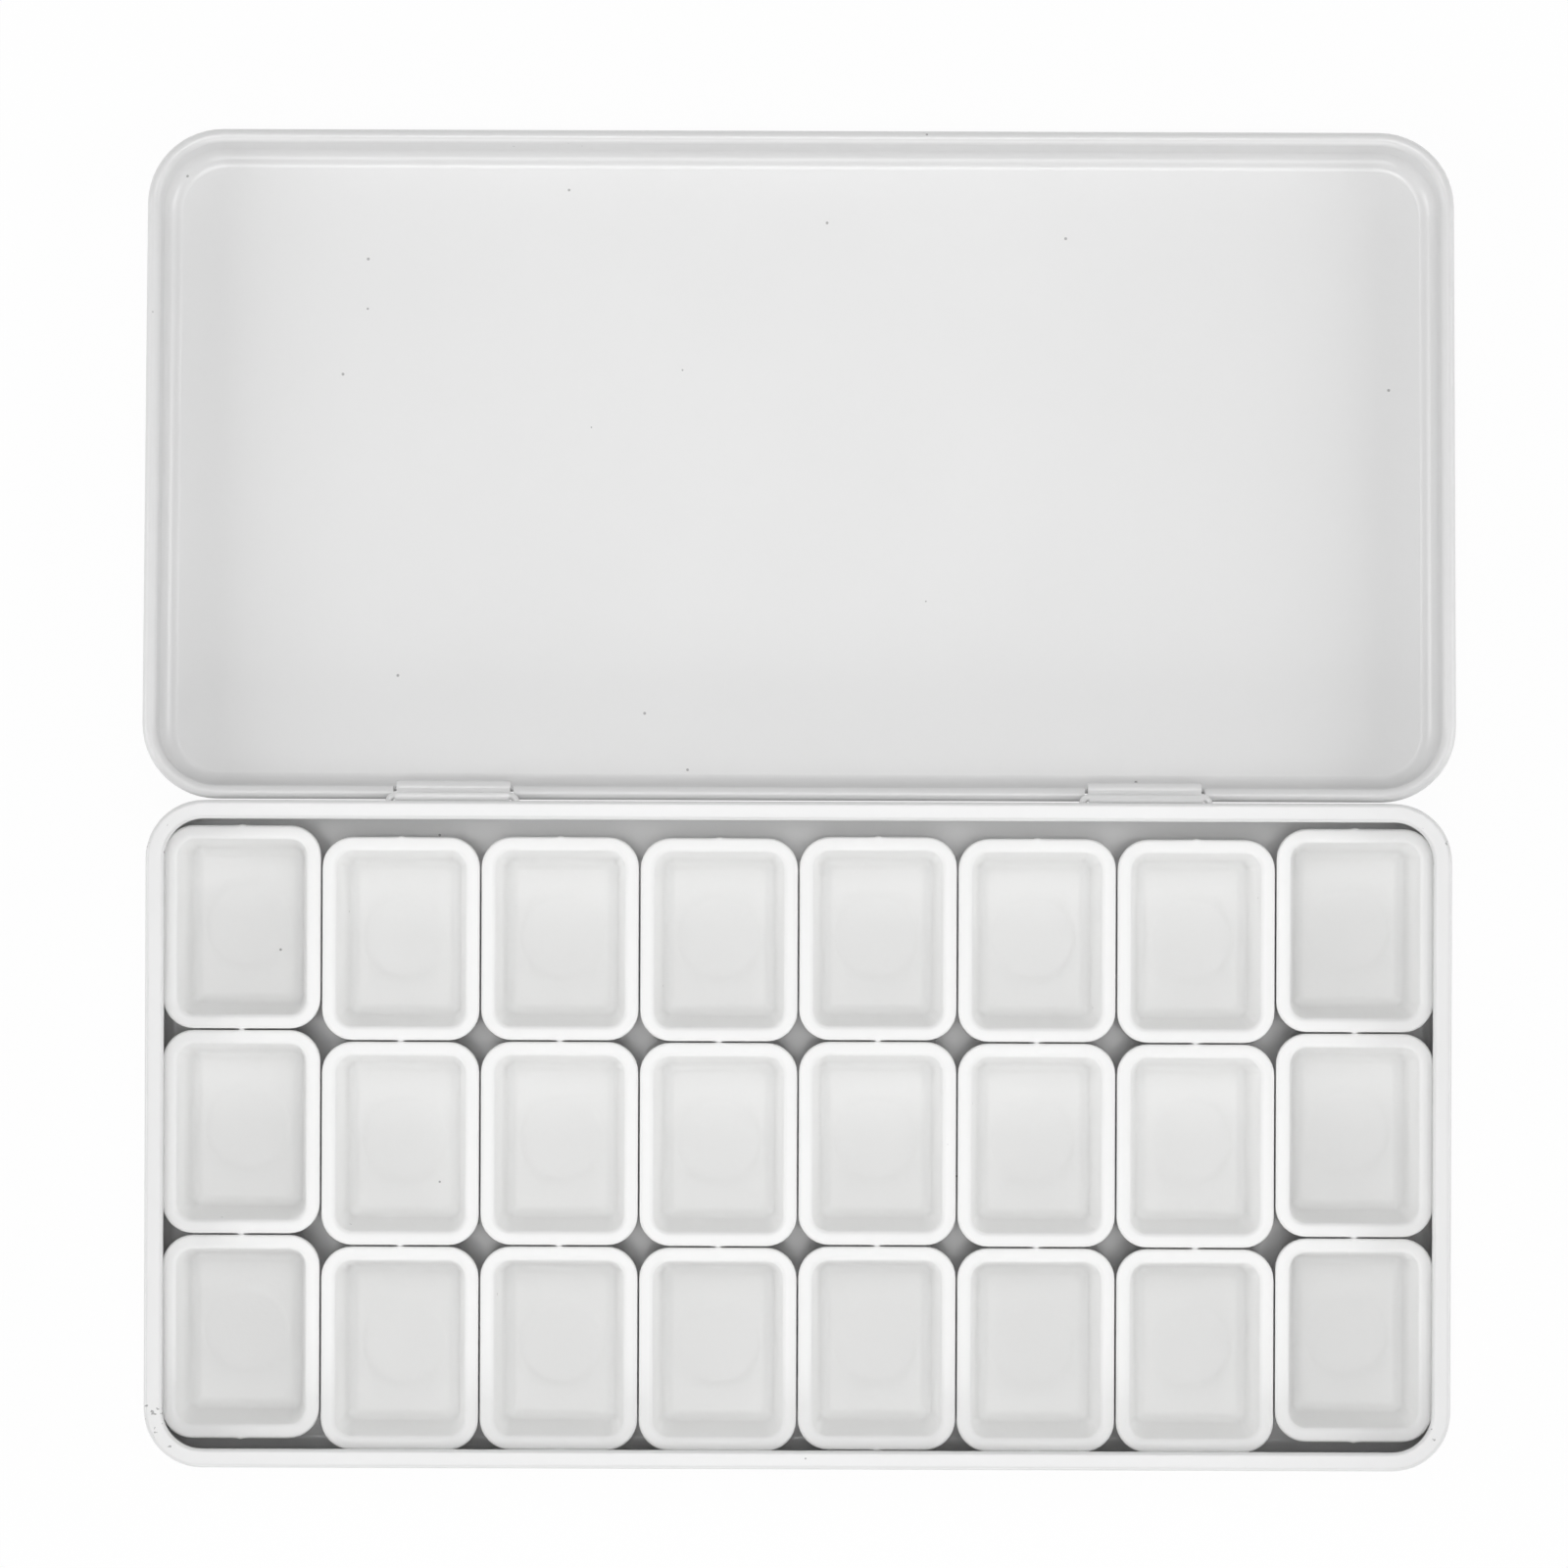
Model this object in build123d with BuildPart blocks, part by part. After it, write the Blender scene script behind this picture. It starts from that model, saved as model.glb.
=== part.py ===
from build123d import *
import math
import os

# Pocket watercolour tin in enamelled sheet metal, lying open, with its half pans in the base.
# X runs along the tin, Y towards the hinge and the open lid, Z up. The origin is at the centre
# of the base's underside. All sizes are in millimetres.

# Half pans: small moulded cups with a flat lip, which lie in rows in the base
pan_columns = 8
pan_rows = 3
pan_width = 14.9
pan_length = 19.24
pan_height = 9.9
pan_corner = 2.9
pan_gap = 0.16
lip_height = 0.9
lip_width = 1.15
lip_inset = 0.45
lip_round = 0.2
cup_draft = 5.75
well_draft = 5.0
well_corner = 1.9
well_round = 1.0
pan_floor = 1.0
pan_foot_round = 0.4
mark_diameter = 8.0
mark_height = 0.08

# Sheet metal and the rim that is curled inward round the top of the base
sheet = 0.28
rim_width = 1.75
rim_height = 1.0
rim_round = 0.35
rim_corner = 3.7
base_corner = 5.5
base_bottom_round = 1.8
headroom = 3.32

# How far the pans lie under the rim at the ends and at the front, and what is left at the rear
end_tuck = 0.41
front_tuck = 0.42
rear_space = 1.71

# The middle columns are pushed against the front rim, each by hand, so they differ a little.
# The outer two lie halfway between the front and rear rims, because of the tin's round corners.
column_slack = (0.0, 0.05, 0.0, 0.15, 0.03, 0.0)

# Lid: a shallow pressed tray with a bead curled outward round its edge
bead_radius = 0.65
bead_flat = 0.01
bead_overhang = 0.6
bead_end_overhang = 0.72
bead_corner = 7.15
bead_clearance = 0.05
lid_depth = 6.2
lid_inner_round = 1.6

# Hinge: bars pressed out of the base's rear wall, with tabs of the lid curled round them
hinge_spacing = 65.4
hinge_drop = 1.7
hinge_offset = 0.46
bar_radius = 0.34
bar_bend = 0.55
curl_clearance = 0.06
curl_sheet = 0.25
curl_width = 10.75
curl_end_gap = 0.2
bar_seat = 0.06
slot_clearance = 0.04
tab_clearance = 0.07
slit_width = 0.3
slit_depth = 0.35
band_joggle = 0.5
arm_overlap = 0.04
curl_start = 120.0
left_curl_wrap = 235.0
right_curl_wrap = 203.0

# Edges are picked out at a height, to within this much
level_tolerance = 0.02

# Base, worked out from the pans
pitch_x = pan_width + pan_gap
pitch_y = pan_length + pan_gap
pans_length = pan_columns * pitch_x - pan_gap
pans_width = pan_rows * pitch_y - pan_gap
opening_length = pans_length - 2 * end_tuck
opening_width = pans_width - front_tuck + rear_space
base_length = opening_length + 2 * rim_width
base_width = opening_width + 2 * rim_width
rim_underside = sheet + pan_height + headroom
base_height = rim_underside + rim_height
rear_wall = base_width / 2

# Hinge axis
hinge_y = rear_wall + hinge_offset
hinge_z = base_height - hinge_drop
hinge_places = (-hinge_spacing / 2, hinge_spacing / 2)
curl_inner = bar_radius + curl_clearance
curl_outer = curl_inner + curl_sheet
slot_length = curl_width + 2 * curl_end_gap

# Lid, worked out from the base
lid_bottom = base_height + bead_clearance
bead_z = lid_bottom + bead_radius
lid_top = lid_bottom + lid_depth
bead_length = base_length + 2 * bead_end_overhang
bead_width = base_width + 2 * bead_overhang
wall_in = 2 * bead_radius - sheet
lid_length = bead_length - 2 * wall_in
lid_width = bead_width - 2 * wall_in
lid_corner = bead_corner - wall_in
lid_rear = lid_width / 2
lid_edge_round = lid_inner_round + sheet

# The open lid leans back until the round edge of its panel meets the table
edge_reach = hinge_y + lid_width / 2 - lid_edge_round
edge_rise = lid_top - lid_edge_round - hinge_z
lean_reach = math.hypot(edge_reach, edge_rise)
lid_lean = math.degrees(
    math.asin((hinge_z - lid_edge_round) / lean_reach) - math.atan2(edge_rise, edge_reach)
)
lid_opening = 180 + lid_lean


# The space inside the base, below the rim
with BuildPart() as base_space:
    with BuildSketch(Plane.XY.offset(sheet)) as base_inside:
        RectangleRounded(base_length - 2 * sheet, base_width - 2 * sheet, base_corner - sheet)
    extrude(amount=rim_underside - sheet)
    fillet(base_space.faces().sort_by(Axis.Z)[0].edges(), base_bottom_round - sheet)


with BuildPart() as base_tray:
    with BuildSketch() as base_outline:
        RectangleRounded(base_length, base_width, base_corner)
    extrude(amount=base_height)
    fillet(base_tray.faces().sort_by(Axis.Z)[0].edges(), base_bottom_round)
    add(base_space.part, mode=Mode.SUBTRACT)

    with BuildSketch(Plane.XY.offset(rim_underside)) as base_opening:
        RectangleRounded(opening_length, opening_width, rim_corner)
    extrude(amount=rim_height, mode=Mode.SUBTRACT)
    fillet(base_tray.faces().sort_by(Axis.Z)[-1].edges(), rim_round)
    low_rim_edges = base_tray.edges().filter_by_position(
        Axis.Z, rim_underside - level_tolerance, rim_underside + level_tolerance
    )
    inner_rim_edges = low_rim_edges.filter_by(
        lambda edge: abs(edge.center().X) < opening_length / 2 + rim_round
        and abs(edge.center().Y) < opening_width / 2 + rim_round
    )
    fillet(inner_rim_edges, rim_round)

    # A slot in the rear wall behind each bar lets the curl of the lid turn round it
    slot_reach = math.sqrt(curl_outer**2 - hinge_offset**2) + slot_clearance
    for x in hinge_places:
        with Locations((x, rear_wall - sheet / 2, hinge_z)):
            Box(slot_length, 2 * sheet, 2 * slot_reach, mode=Mode.SUBTRACT)

    # Each bar runs along the hinge axis, with its ends bent back into the wall
    for x in hinge_places:
        bar_half = slot_length / 2 + bar_radius + bar_seat
        wall_middle = rear_wall - sheet / 2
        with BuildLine(Plane.XY.offset(hinge_z)) as bar_path:
            FilletPolyline(
                (x - bar_half, wall_middle),
                (x - bar_half, hinge_y),
                (x + bar_half, hinge_y),
                (x + bar_half, wall_middle),
                radius=bar_bend,
            )
        bar_start = Plane(origin=bar_path.line @ 0, z_dir=bar_path.line % 0)
        with BuildSketch(bar_start) as bar_section:
            Circle(bar_radius)
        sweep(path=bar_path.line)


# The space inside the lid, down past the bead
with BuildPart() as lid_space:
    with BuildSketch(Plane.XY.offset(base_height)) as lid_inside:
        RectangleRounded(lid_length - 2 * sheet, lid_width - 2 * sheet, lid_corner - sheet)
    extrude(amount=lid_top - sheet - base_height)
    fillet(lid_space.faces().sort_by(Axis.Z)[-1].edges(), lid_inner_round)


# The lid is drawn closed, on top of the base, and laid open afterwards
with BuildPart() as lid:
    with BuildSketch(Plane.XY.offset(lid_bottom)) as bead_outline:
        RectangleRounded(bead_length, bead_width, bead_corner)
        RectangleRounded(
            lid_length - 2 * sheet, lid_width - 2 * sheet, lid_corner - sheet, mode=Mode.SUBTRACT
        )
    extrude(amount=2 * bead_radius)
    bead_round = bead_radius - bead_flat
    fillet(lid.faces().sort_by(Axis.Z)[0].edges(), bead_round)
    top_edges = lid.edges().filter_by_position(
        Axis.Z, bead_z + bead_radius - level_tolerance, bead_z + bead_radius + level_tolerance
    )
    outer_top_edges = top_edges.filter_by(
        lambda edge: abs(edge.center().X) > lid_length / 2 or abs(edge.center().Y) > lid_width / 2
    )
    outer_bead_edges = outer_top_edges.filter_by(
        lambda edge: math.hypot(
            max(abs(edge.center().X) - bead_length / 2 + bead_corner, 0),
            max(abs(edge.center().Y) - bead_width / 2 + bead_corner, 0),
        )
        > bead_corner - sheet
    )
    fillet(outer_bead_edges, bead_round)

    with BuildSketch(Plane.XY.offset(bead_z)) as lid_outline:
        RectangleRounded(lid_length, lid_width, lid_corner)
    extrude(amount=lid_top - bead_z)
    fillet(lid.faces().sort_by(Axis.Z)[-1].edges(), lid_edge_round)
    add(lid_space.part, mode=Mode.SUBTRACT)

    # At each hinge the bead stops, with a slit at both ends of the tab
    slit_top = bead_z + bead_radius + slit_depth
    bead_half_depth = (bead_width - lid_width) / 2
    for x in hinge_places:
        with Locations((x, lid_rear + bead_half_depth, bead_z)):
            Box(
                curl_width + 2 * slit_width,
                2 * bead_half_depth,
                2 * (slit_top - bead_z),
                mode=Mode.SUBTRACT,
            )
        for end in (-1, 1):
            with Locations((x + end * (curl_width + slit_width) / 2, lid_rear, bead_z)):
                Box(slit_width, 4 * sheet, 2 * (slit_top - bead_z), mode=Mode.SUBTRACT)

    # The tab: a band set in from the bead, an arm down outside the wall, and the curl
    band_y = rear_wall + bead_overhang - bead_radius - band_joggle
    arm_inner = rear_wall + tab_clearance
    arm_outer = arm_inner + curl_sheet
    for x, wrap in zip(hinge_places, (left_curl_wrap, right_curl_wrap)):
        with BuildSketch(Plane.YZ.offset(x - curl_width / 2)) as tab_section:
            with Locations((band_y, bead_z)):
                Circle(bead_radius)
            with BuildLine() as arm:
                Polyline(
                    (band_y, bead_z + bead_radius),
                    (arm_outer, bead_z - sheet),
                    (arm_outer, hinge_z + curl_inner),
                    (arm_inner, hinge_z + curl_inner - arm_overlap),
                    (arm_inner, lid_bottom + bead_clearance),
                    (band_y, lid_bottom + bead_clearance),
                    close=True,
                )
            make_face()
            with BuildLine() as curl:
                outer_arc = CenterArc((hinge_y, hinge_z), curl_outer, curl_start, -wrap)
                inner_arc = CenterArc((hinge_y, hinge_z), curl_inner, curl_start, -wrap)
                Line(outer_arc @ 0, inner_arc @ 0)
                Line(outer_arc @ 1, inner_arc @ 1)
            make_face()
        extrude(amount=curl_width)


hinge_axis = Axis((0, hinge_y, hinge_z), (1, 0, 0))
open_lid = lid.part.rotate(hinge_axis, -lid_opening)


with BuildPart() as pan:
    cup_depth = pan_height - lip_height
    with BuildSketch(Plane.XY.offset(cup_depth)) as cup_outline:
        RectangleRounded(
            pan_width - 2 * lip_inset, pan_length - 2 * lip_inset, pan_corner - lip_inset
        )
    extrude(amount=cup_depth, dir=(0, 0, -1), taper=cup_draft)
    fillet(pan.faces().sort_by(Axis.Z)[0].edges(), pan_foot_round)
    with BuildSketch(Plane.XY.offset(cup_depth)) as lip_outline:
        RectangleRounded(pan_width, pan_length, pan_corner)
    extrude(amount=lip_height)
    with BuildSketch(Plane.XY.offset(pan_height)) as well_outline:
        RectangleRounded(pan_width - 2 * lip_width, pan_length - 2 * lip_width, well_corner)
    extrude(amount=pan_height - pan_floor, dir=(0, 0, -1), taper=well_draft, mode=Mode.SUBTRACT)
    well_floor_edges = pan.edges().filter_by_position(
        Axis.Z, pan_floor - level_tolerance, pan_floor + level_tolerance
    )
    fillet(well_floor_edges, well_round)
    fillet(pan.faces().sort_by(Axis.Z)[-1].edges(), lip_round)

    # A faint raised disc on the floor of the well
    with BuildSketch(Plane.XY.offset(pan_floor)) as floor_mark:
        Circle(mark_diameter / 2)
    extrude(amount=mark_height)


os.makedirs("parts", exist_ok=True)

base_tray.part.label = "base_tray"
export_step(base_tray.part, "parts/base_tray.step")

open_lid.label = "lid"
export_step(open_lid, "parts/lid.step")

# Columns count from the left, and rows from the hinge to the front
front_row_y = -opening_width / 2 - front_tuck + pan_length / 2
middle_row_y = (pan_rows - 1) * pitch_y / 2
for column in range(pan_columns):
    x = (column - (pan_columns - 1) / 2) * pitch_x
    outer_column = column in (0, pan_columns - 1)
    for row in range(pan_rows):
        if outer_column:
            y = middle_row_y - row * pitch_y
        else:
            slack = column_slack[(column - 1) % len(column_slack)]
            y = front_row_y + (pan_rows - 1 - row) * pitch_y + slack
        name = f"pan_r{row + 1}_c{column + 1}"
        placed_pan = pan.part.moved(Location((x, y, sheet)))
        placed_pan.label = name
        export_step(placed_pan, f"parts/{name}.step")

print(f"base {base_length:.3f} x {base_width:.3f} x {base_height:.3f}")
print(f"hinge axis y {hinge_y:.4f} z {hinge_z:.4f}, opening {lid_opening:.3f} degrees")
print(f"lid closed height {lid_top:.3f}")
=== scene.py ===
import math
import bpy
import numpy as np
from mathutils import Matrix, Vector


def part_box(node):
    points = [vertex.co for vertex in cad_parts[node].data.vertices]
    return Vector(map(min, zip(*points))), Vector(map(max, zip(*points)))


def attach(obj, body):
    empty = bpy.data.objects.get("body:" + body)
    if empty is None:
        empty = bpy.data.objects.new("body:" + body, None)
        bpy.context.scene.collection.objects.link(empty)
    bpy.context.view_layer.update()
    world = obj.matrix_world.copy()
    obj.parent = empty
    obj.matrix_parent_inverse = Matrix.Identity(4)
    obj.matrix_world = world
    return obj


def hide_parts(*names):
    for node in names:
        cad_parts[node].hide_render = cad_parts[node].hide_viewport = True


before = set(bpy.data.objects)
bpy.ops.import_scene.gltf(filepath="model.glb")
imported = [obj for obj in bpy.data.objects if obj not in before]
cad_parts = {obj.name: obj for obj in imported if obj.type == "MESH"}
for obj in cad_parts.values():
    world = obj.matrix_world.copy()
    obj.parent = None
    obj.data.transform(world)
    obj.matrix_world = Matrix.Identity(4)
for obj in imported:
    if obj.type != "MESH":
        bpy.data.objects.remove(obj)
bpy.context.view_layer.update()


# Camera. The tin is seen from straight above, a little left of its middle and level with the
# gap between the base and the open lid. Sizes come from the photograph's scale at the rim.
base_low, base_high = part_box("base_tray")
base_length = base_high.x - base_low.x
photo_side = 1600
base_length_pixels = 1334
base_middle_pixel = 815.5
rim_scale = base_length / base_length_pixels
camera_x = (photo_side / 2 - base_middle_pixel) * rim_scale
camera_y = 0.0331
camera_height = 0.680
camera_turn = math.radians(0.2)
sensor_width = 36
camera_data = bpy.data.cameras.new("straight_above")
camera_data.sensor_width = sensor_width
camera_data.lens = sensor_width * camera_height / (photo_side * rim_scale)
camera_data.clip_start = 0.01
camera_data.clip_end = 10
camera = bpy.data.objects.new("straight_above", camera_data)
camera.location = (camera_x, camera_y, base_high.z + camera_height)
camera.rotation_euler = (0, 0, camera_turn)
bpy.context.scene.collection.objects.link(camera)
bpy.context.scene.camera = camera
bpy.context.scene.view_settings.view_transform = "Standard"


# Base and lid. Both are pressed from thin tinplate, with a rim curled inward on the base and a bead
# curled outward on the lid, whose tabs are curled round two bars of the base. The white stove
# enamel is glossy, with a slight orange peel, a little dust, and fine chips at the rim's corners.
class Signal:
    """An output of a node. Its operators add Math nodes to the finish that it belongs to."""

    def __init__(self, finish, socket):
        self.finish = finish
        self.socket = socket

    def output(self, name):
        """Another output of the same node."""
        return Signal(self.finish, self.socket.node.outputs[name])

    def math(self, operation, *values):
        """A Math node on this signal and on further signals or numbers."""
        inputs = dict(enumerate((self, *values)))
        return self.finish.node("ShaderNodeMath", {"operation": operation}, inputs)

    def __add__(self, other):
        return self.math("ADD", other)

    def __sub__(self, other):
        return self.math("SUBTRACT", other)

    def __rsub__(self, other):
        return self.finish.node("ShaderNodeMath", {"operation": "SUBTRACT"}, {0: other, 1: self})

    def __mul__(self, other):
        return self.math("MULTIPLY", other)

    def __lt__(self, other):
        return self.math("LESS_THAN", other)

    def __gt__(self, other):
        return self.math("GREATER_THAN", other)

    __radd__ = __add__
    __rmul__ = __mul__


class Finish:
    """A material with one Principled shader, and one method that makes its other nodes."""

    def __init__(self, name, constants):
        self.material = bpy.data.materials.new(name)
        self.material.use_nodes = True
        self.tree = self.material.node_tree
        self.shader = self.tree.nodes["Principled BSDF"]
        for socket, value in constants.items():
            self.shader.inputs[socket].default_value = value

    def node(self, kind, settings, inputs, output=0):
        """A node of a kind, with its settings, and with values or signals at its inputs."""
        made = self.tree.nodes.new(kind)
        for name, value in settings.items():
            setattr(made, name, value)
        for key, value in inputs.items():
            if isinstance(value, Signal):
                self.tree.links.new(value.socket, made.inputs[key])
            else:
                made.inputs[key].default_value = value
        return Signal(self, made.outputs[output])

    def mixed(self, factor, first, second):
        """Two colours mixed. A Mix node takes them at inputs 6 and 7, and gives output 2."""
        inputs = {"Factor": factor, 6: first, 7: second}
        return self.node("ShaderNodeMix", {"data_type": "RGBA"}, inputs, 2)

    def feed(self, socket, signal):
        """Links a signal to a socket of the Principled shader."""
        self.tree.links.new(signal.socket, self.shader.inputs[socket])


enamel_white = (0.78, 0.78, 0.78, 1)
enamel_shade = (0.755, 0.755, 0.755, 1)
cloud_scale = 45
gloss_floor = 0.28
gloss_clouds = 0.06
peel_scale = 700
peel_depth = 0.0002
peel_strength = 0.10
dust_grey = (0.30, 0.30, 0.30, 1)
dust_cover = 0.8
dust_roughness = 0.3
speck_scale = 210
speck_reach = 0.030
chip_scale = 1500
chip_level = 0.665
chips_from_end = 0.0035
chips_from_side = 0.0059
chips_from_top = 0.0007
enamel = Finish(
    "white_stove_enamel",
    {"Specular IOR Level": 0.5, "Coat Weight": 0.25, "Coat Roughness": 0.12},
)
place = enamel.node("ShaderNodeTexCoord", {}, {}, "Object")
cloud_inputs = {"Vector": place, "Scale": cloud_scale, "Detail": 3}
peel_inputs = {"Vector": place, "Scale": peel_scale, "Detail": 2}
speck_inputs = {"Vector": place, "Scale": speck_scale}
chip_inputs = {"Vector": place, "Scale": chip_scale, "Detail": 3}
clouds = enamel.node("ShaderNodeTexNoise", {}, cloud_inputs)
peel = enamel.node("ShaderNodeTexNoise", {}, peel_inputs)
specks = enamel.node("ShaderNodeTexVoronoi", {}, speck_inputs, "Distance")
chips = enamel.node("ShaderNodeTexNoise", {}, chip_inputs)
axes = enamel.node("ShaderNodeSeparateXYZ", {}, {"Vector": place})
at_end = axes.output("X").math("ABSOLUTE") > base_high.x - chips_from_end
at_side = axes.output("Y").math("ABSOLUTE") > -base_low.y - chips_from_side
on_rim = axes.output("Z") > base_high.z - chips_from_top
worn = at_end * at_side * on_rim * (chips > chip_level)
dusty = (specks < speck_reach).math("MAXIMUM", worn)
coat = enamel.mixed(clouds, enamel_white, enamel_shade)
enamel.feed("Base Color", enamel.mixed(dusty * dust_cover, coat, dust_grey))
enamel.feed("Roughness", gloss_floor + clouds * gloss_clouds + dusty * dust_roughness)
peel_relief = {"Strength": peel_strength, "Distance": peel_depth, "Height": peel}
enamel.feed("Normal", enamel.node("ShaderNodeBump", {}, peel_relief))
for node in ("base_tray", "lid"):
    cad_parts[node].data.materials.clear()
    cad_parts[node].data.materials.append(enamel.material)


# Half pans. Small cups moulded in white plastic, with a flat lip, drafted walls, a faint disc on
# the floor of the well and a gate nub in the middle of both short sides. They lie loose.
pan_white = (0.96, 0.96, 0.955, 1)
pan_shade = (0.94, 0.94, 0.935, 1)
haze_scale = 60
satin_floor = 0.34
satin_haze = 0.10
grain_scale = 2600
grain_depth = 0.0001
grain_strength = 0.08
mote_scale = 150
mote_reach = 0.018
plastic = Finish(
    "white_pan_plastic",
    {
        "Subsurface Weight": 0.15,
        "Subsurface Radius": (0.003, 0.003, 0.003),
        "Subsurface Scale": 1.0,
        "Specular IOR Level": 0.45,
    },
)
spot = plastic.node("ShaderNodeTexCoord", {}, {}, "Object")
haze_inputs = {"Vector": spot, "Scale": haze_scale, "Detail": 2}
grain_inputs = {"Vector": spot, "Scale": grain_scale, "Detail": 2}
mote_inputs = {"Vector": spot, "Scale": mote_scale}
haze = plastic.node("ShaderNodeTexNoise", {}, haze_inputs)
grain = plastic.node("ShaderNodeTexNoise", {}, grain_inputs)
motes = plastic.node("ShaderNodeTexVoronoi", {}, mote_inputs, "Distance")
dotted = motes < mote_reach
body = plastic.mixed(haze, pan_white, pan_shade)
plastic.feed("Base Color", plastic.mixed(dotted * dust_cover, body, dust_grey))
plastic.feed("Roughness", satin_floor + haze * satin_haze)
grain_relief = {"Strength": grain_strength, "Distance": grain_depth, "Height": grain}
plastic.feed("Normal", plastic.node("ShaderNodeBump", {}, grain_relief))

mm = 0.001
pan_low, pan_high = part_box("pan_r1_c1")
pan_half = (np.array(pan_high - pan_low) / 2)[:2]
pan_height = pan_high.z - pan_low.z
pan_corner = 2.9 * mm
pan_floor = 1.0 * mm
lip_height = 0.9 * mm
lip_inset = 0.45 * mm
lip_edge = 0.08 * mm
lip_round = 0.25 * mm
lip_steps = 7
crease = 0.05 * mm
cup_lean = 5.75
cup_draft = math.tan(math.radians(cup_lean))
foot_round = 0.4 * mm
foot_flat = 0.5 * mm
foot_corner = 0.5 * mm
foot_steps = 6
land_inset = 0.9 * mm
well_lean = 5.0
well_draft = math.tan(math.radians(well_lean))
well_edge_round = 0.45 * mm
well_round = 1.15 * mm
well_steps = 9
well_corner = 1.9 * mm
well_corner_least = 0.7 * mm
well_corner_drop = 0.8
mark_radius = 4.0 * mm
mark_height = 0.03 * mm
mark_edge = 0.12 * mm
nub_reach = 0.11 * mm
nub_width = 0.28 * mm
nub_zone = 0.3 * mm


def arc(middle, radius, start, end, steps):
    """Points (inset, height) at middle + radius * (cos a, sin a), with a from start to end in
    degrees."""
    turn = np.radians(np.linspace(start, end, steps))
    return np.column_stack((middle[0] + radius * np.cos(turn), middle[1] + radius * np.sin(turn)))


def rounded_rings(half, corner, insets, corner_steps=9, side_steps=15):
    """Rings of a rounded rectangle, one for each inset. Each side runs from corner to corner with
    its points drawn together in the middle as the cube of an even spacing, and each corner is an
    arc of the given radius about a centre that lies that radius inside both sides."""
    corner = np.minimum(corner, (half[None, :] - insets[:, None]).min(1))
    turn = np.radians(np.linspace(0, 90, corner_steps))
    even = np.linspace(-1, 1, side_steps)[1:-1] ** 3
    reach = half[None, :] - insets[:, None] - corner[:, None]
    rings = []
    for quarter, (sign_x, sign_y) in enumerate(((1, 1), (-1, 1), (-1, -1), (1, -1))):
        angle = turn + quarter * math.pi / 2
        x = sign_x * reach[:, :1] + corner[:, None] * np.cos(angle)
        y = sign_y * reach[:, 1:] + corner[:, None] * np.sin(angle)
        rings.append(np.stack((x, y), 2))
        end = rings[-1][:, -1:]
        if quarter % 2 == 0:
            side_x = -sign_x * reach[:, :1] * even
            side_y = np.repeat(end[:, :, 1], len(even), 1)
        else:
            side_x = np.repeat(end[:, :, 0], len(even), 1)
            side_y = -sign_y * reach[:, 1:] * even
        rings.append(np.stack((side_x, side_y), 2))
    return np.concatenate(rings, 1)


def ring_mesh(name, rings):
    """A closed surface through rings of points, of shape (rings, points, 3), from the first ring to
    the last. The first and the last ring are each closed by a fan round their mean point."""
    count, around = rings.shape[:2]
    ends = rings[[0, -1]].mean(1)
    points = np.concatenate((rings.reshape(-1, 3), ends))
    here = np.arange(around)
    after = (here + 1) % around
    row = np.arange(count - 1)[:, None] * around
    walls = np.stack((row + here, row + after, row + around + after, row + around + here), 2)
    bottom, top = count * around, count * around + 1
    last = (count - 1) * around
    low_fan = np.column_stack((np.full(around, bottom), after, here))
    high_fan = np.column_stack((np.full(around, top), last + here, last + after))
    mesh = bpy.data.meshes.new(name)
    faces = walls.reshape(-1, 4).tolist() + low_fan.tolist() + high_fan.tolist()
    mesh.from_pydata(points.tolist(), [], faces)
    mesh.polygons.foreach_set("use_smooth", np.ones(len(mesh.polygons), bool))
    mesh.update()
    return mesh


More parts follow.
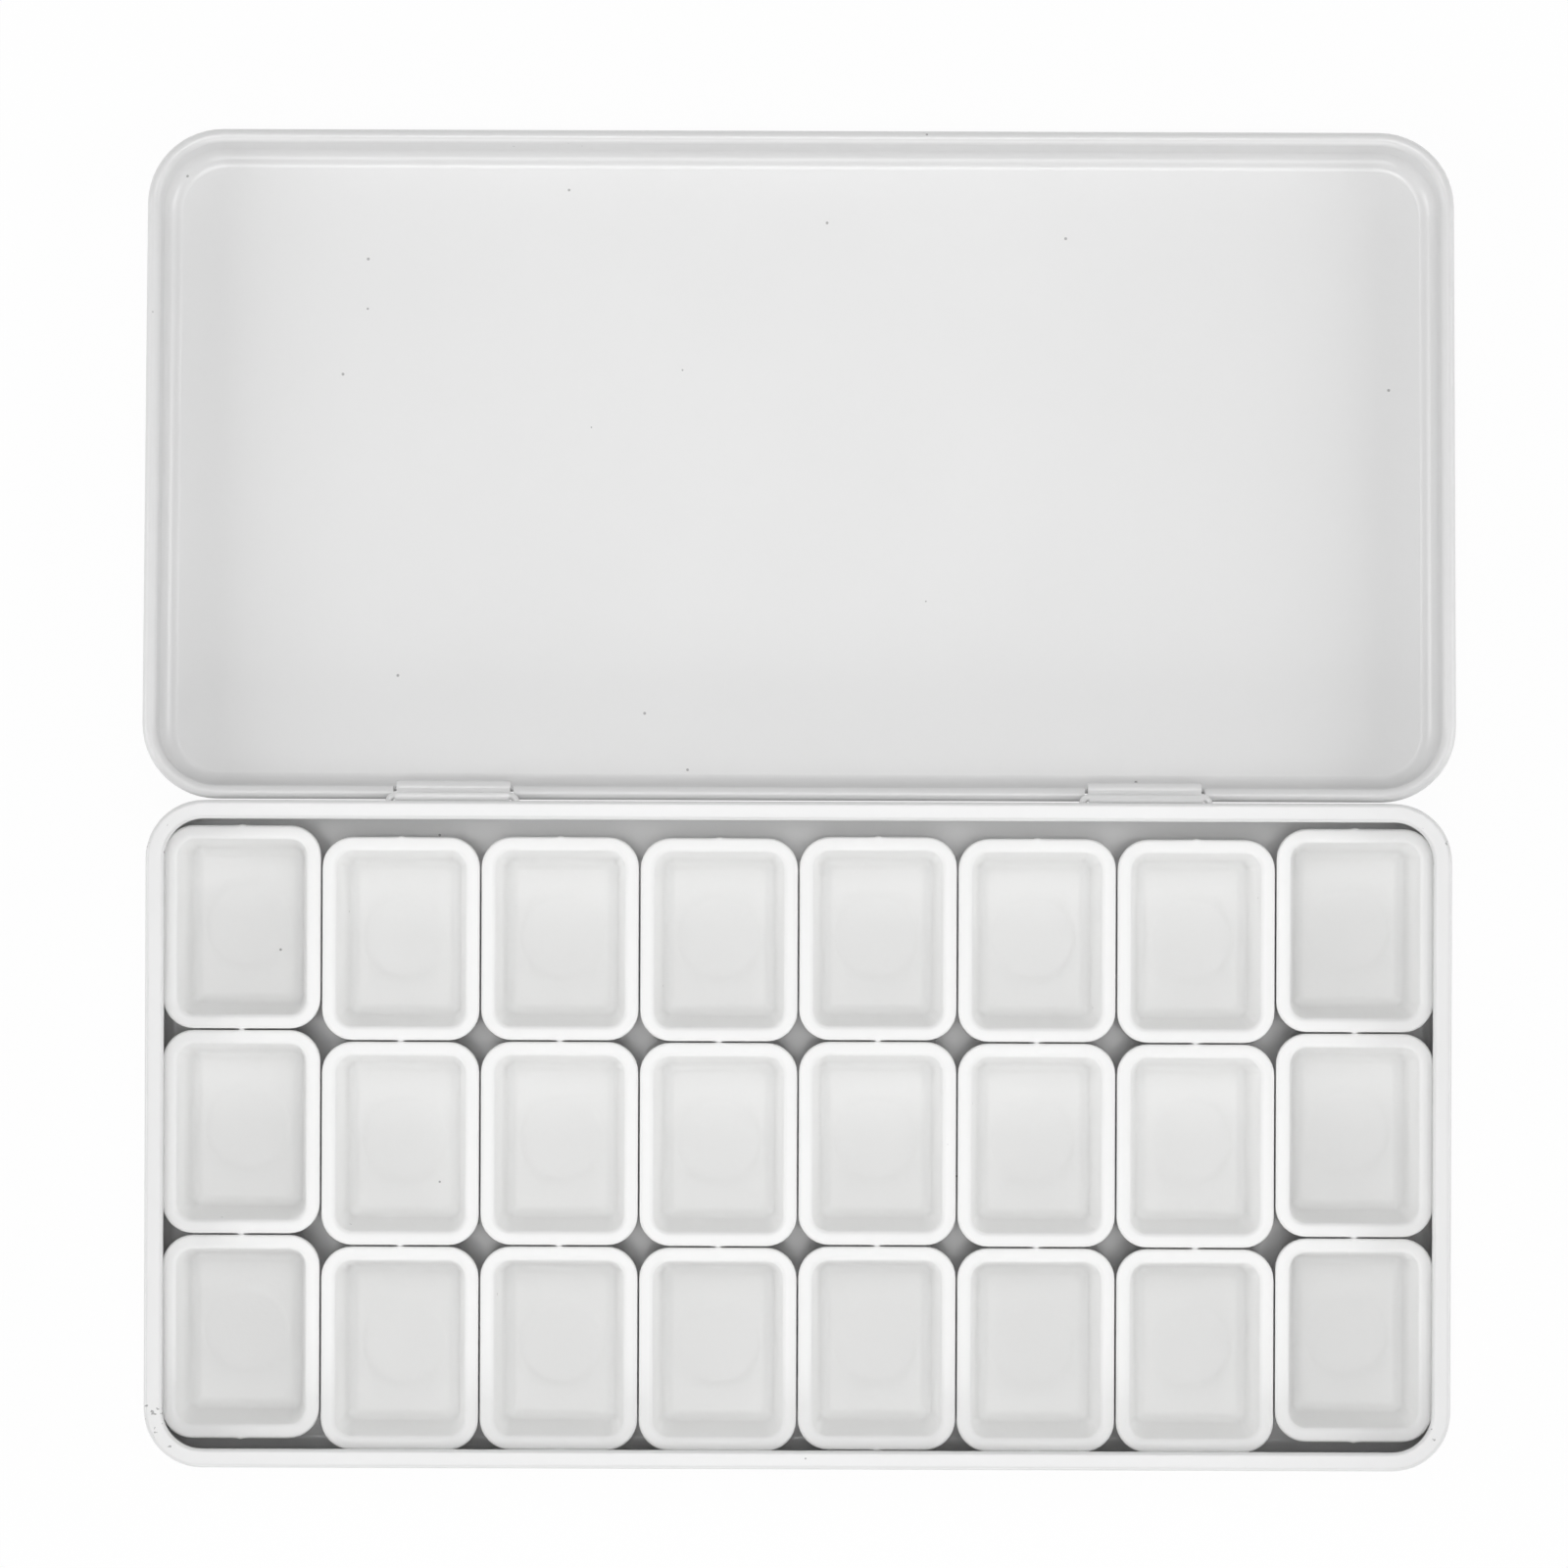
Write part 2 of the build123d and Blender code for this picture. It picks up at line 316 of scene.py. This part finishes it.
def half_pan_rings():
    """A half pan about its own middle, with its foot at height 0. A profile of inset and height
    goes from the underside up the outside, over the lip and down the well, and each of its points
    is carried round a rounded rectangle. On the well's floor the rings run to the mark's circle by
    shares of the way, step up its edge and go on inwards over the raised disc. A nub bulges from
    both short sides of the lip as the bell curve exp(-(x / width)^2)."""
    lip_base = pan_height - lip_height
    foot_inset = lip_inset + lip_base * cup_draft
    well_depth = pan_height - well_edge_round - pan_floor
    floor_inset = land_inset + well_edge_round + well_depth * well_draft
    lip_turn = (lip_round, pan_height - lip_round)
    foot_turn = (foot_inset + foot_round, foot_round)
    edge_turn = (land_inset, pan_height - well_edge_round)
    floor_turn = (floor_inset + well_round, pan_floor + well_round)
    outside = np.concatenate((
        [[foot_inset + foot_round + foot_flat, 0]],
        arc(foot_turn, -foot_round, 90, 0, foot_steps),
        [[lip_inset + crease * cup_draft, lip_base - crease]],
        [[lip_inset, lip_base]],
        [[lip_edge, lip_base]],
        [[0, lip_base + lip_edge]],
        arc(lip_turn, -lip_round, 0, -90, lip_steps),
    ))
    inside = np.concatenate((
        arc(edge_turn, well_edge_round, 90, well_lean, well_steps),
        arc(floor_turn, -well_round, well_lean, 90, well_steps),
    ))
    inset = np.concatenate((outside[:, 0], inside[:, 0]))
    up = np.concatenate((outside[:, 1], inside[:, 1]))
    corner = np.concatenate((
        np.maximum(pan_corner - outside[:, 0], foot_corner),
        np.maximum(well_corner - well_corner_drop * (inside[:, 0] - land_inset), well_corner_least),
    ))
    flat = rounded_rings(pan_half, corner, inset)
    on_lip = (up > lip_base)[:, None] & (np.abs(flat[:, :, 1]) > pan_half[1] - nub_zone)
    nub = nub_reach * np.exp(-((flat[:, :, 0] / nub_width) ** 2)) * on_lip
    flat[:, :, 1] += np.sign(flat[:, :, 1]) * nub
    walls = np.concatenate((flat, np.repeat(up[:, None, None], flat.shape[1], 1)), 2)
    last = flat[-1]
    angle = np.arctan2(last[:, 1] / pan_half[1], last[:, 0] / pan_half[0])
    circle = np.column_stack((np.cos(angle), np.sin(angle)))
    shares = np.array([0.35, 0.7, 1, 1, 1, 1])
    radii = mark_radius + mark_edge * np.array([0, 0, 0.5, -0.5, -4, -20])
    heights = pan_floor + mark_height * np.array([0, 0, 0, 1, 1, 1])
    middle = (1 - shares)[:, None, None] * last + (shares * radii)[:, None, None] * circle
    floor = np.concatenate((middle, np.repeat(heights[:, None, None], len(last), 1)), 2)
    return np.concatenate((walls, floor))


pan_rings = half_pan_rings()
for node in sorted(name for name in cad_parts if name.startswith("pan_")):
    low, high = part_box(node)
    seat = np.array(((low.x + high.x) / 2, (low.y + high.y) / 2, low.z))
    piece = bpy.data.objects.new("half_" + node, ring_mesh("half_" + node, pan_rings + seat))
    bpy.context.scene.collection.objects.link(piece)
    piece.data.materials.append(plastic.material)
    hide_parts(node)
    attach(piece, node)


# Table. A plain white surface, on which the base and the lid's far edge rest. It is white to the
# camera and in reflections, and still takes the tin's soft shadow.
table_half = 2.0
table_height = -0.00005
white_to_camera = 0.95
signs = ((-1, -1), (1, -1), (1, 1), (-1, 1))
table_corners = [(x * table_half, y * table_half, table_height) for x, y in signs]
table_mesh = bpy.data.meshes.new("table")
table_mesh.from_pydata(table_corners, [], [(0, 1, 2, 3)])
table = bpy.data.objects.new("table", table_mesh)
bpy.context.scene.collection.objects.link(table)
table_finish = Finish("white_table", {"Base Color": (0.9, 0.9, 0.9, 1), "Roughness": 0.9})
rays = table_finish.node("ShaderNodeLightPath", {}, {}, "Is Camera Ray")
mirrored = rays.math("MAXIMUM", rays.output("Is Glossy Ray"))
seen = mirrored.math("MAXIMUM", rays.output("Is Transmission Ray"))
glow = table_finish.node("ShaderNodeEmission", {}, {"Color": (1, 1, 1, 1), "Strength": 1})
under = Signal(table_finish, table_finish.shader.outputs[0])
surface = table_finish.node("ShaderNodeMixShader", {}, {0: seen * white_to_camera, 1: under, 2: glow})
output = table_finish.tree.nodes["Material Output"]
table_finish.tree.links.new(surface.socket, output.inputs["Surface"])
table_mesh.materials.append(table_finish.material)


# Light. A white room with a soft lamp overhead, a small one where the leaning lid mirrors it, and
# three at the left, at the right and in front, so low that the walls shade the lid's floor.
room_strength = 0.42
world = bpy.data.worlds.new("white_room")
bpy.context.scene.world = world
world.use_nodes = True
room = world.node_tree
background = room.nodes["Background"]
background.inputs["Color"].default_value = (1, 1, 1, 1)
ray = room.nodes.new("ShaderNodeLightPath")
strength = room.nodes.new("ShaderNodeMix")
strength.inputs["A"].default_value = room_strength
strength.inputs["B"].default_value = 1.0
room.links.new(ray.outputs["Is Camera Ray"], strength.inputs["Factor"])
room.links.new(strength.outputs["Result"], background.inputs["Strength"])

aim_height = 0.01
ceiling = 1.15
overhead_y = -0.01
overhead_side = 0.30
overhead_power = 2.2
lid_lamp_y = 0.36
lid_lamp_side = 0.24
lid_lamp_power = 0.75
low_reach = 0.95
low_height = 0.55
low_side = 0.50
end_power = 3.0
front_power = 2.5


def soft_lamp(name, where, side, power):
    """A square lamp that faces the middle of the open tin."""
    data = bpy.data.lights.new(name, "AREA")
    data.size = side
    data.energy = power
    lamp = bpy.data.objects.new(name, data)
    aim = Vector((0, camera_y, aim_height)) - Vector(where)
    turn = aim.to_track_quat("-Z", "Y").to_matrix().to_4x4()
    lamp.matrix_world = Matrix.Translation(where) @ turn
    bpy.context.scene.collection.objects.link(lamp)


soft_lamp("overhead_lamp", (0.0, overhead_y, ceiling), overhead_side, overhead_power)
soft_lamp("lid_lamp", (0.0, lid_lamp_y, ceiling), lid_lamp_side, lid_lamp_power)
soft_lamp("left_lamp", (-low_reach, camera_y, low_height), low_side, end_power)
soft_lamp("right_lamp", (low_reach, camera_y, low_height), low_side, end_power)
soft_lamp("front_lamp", (0.0, camera_y - low_reach, low_height), low_side, front_power)
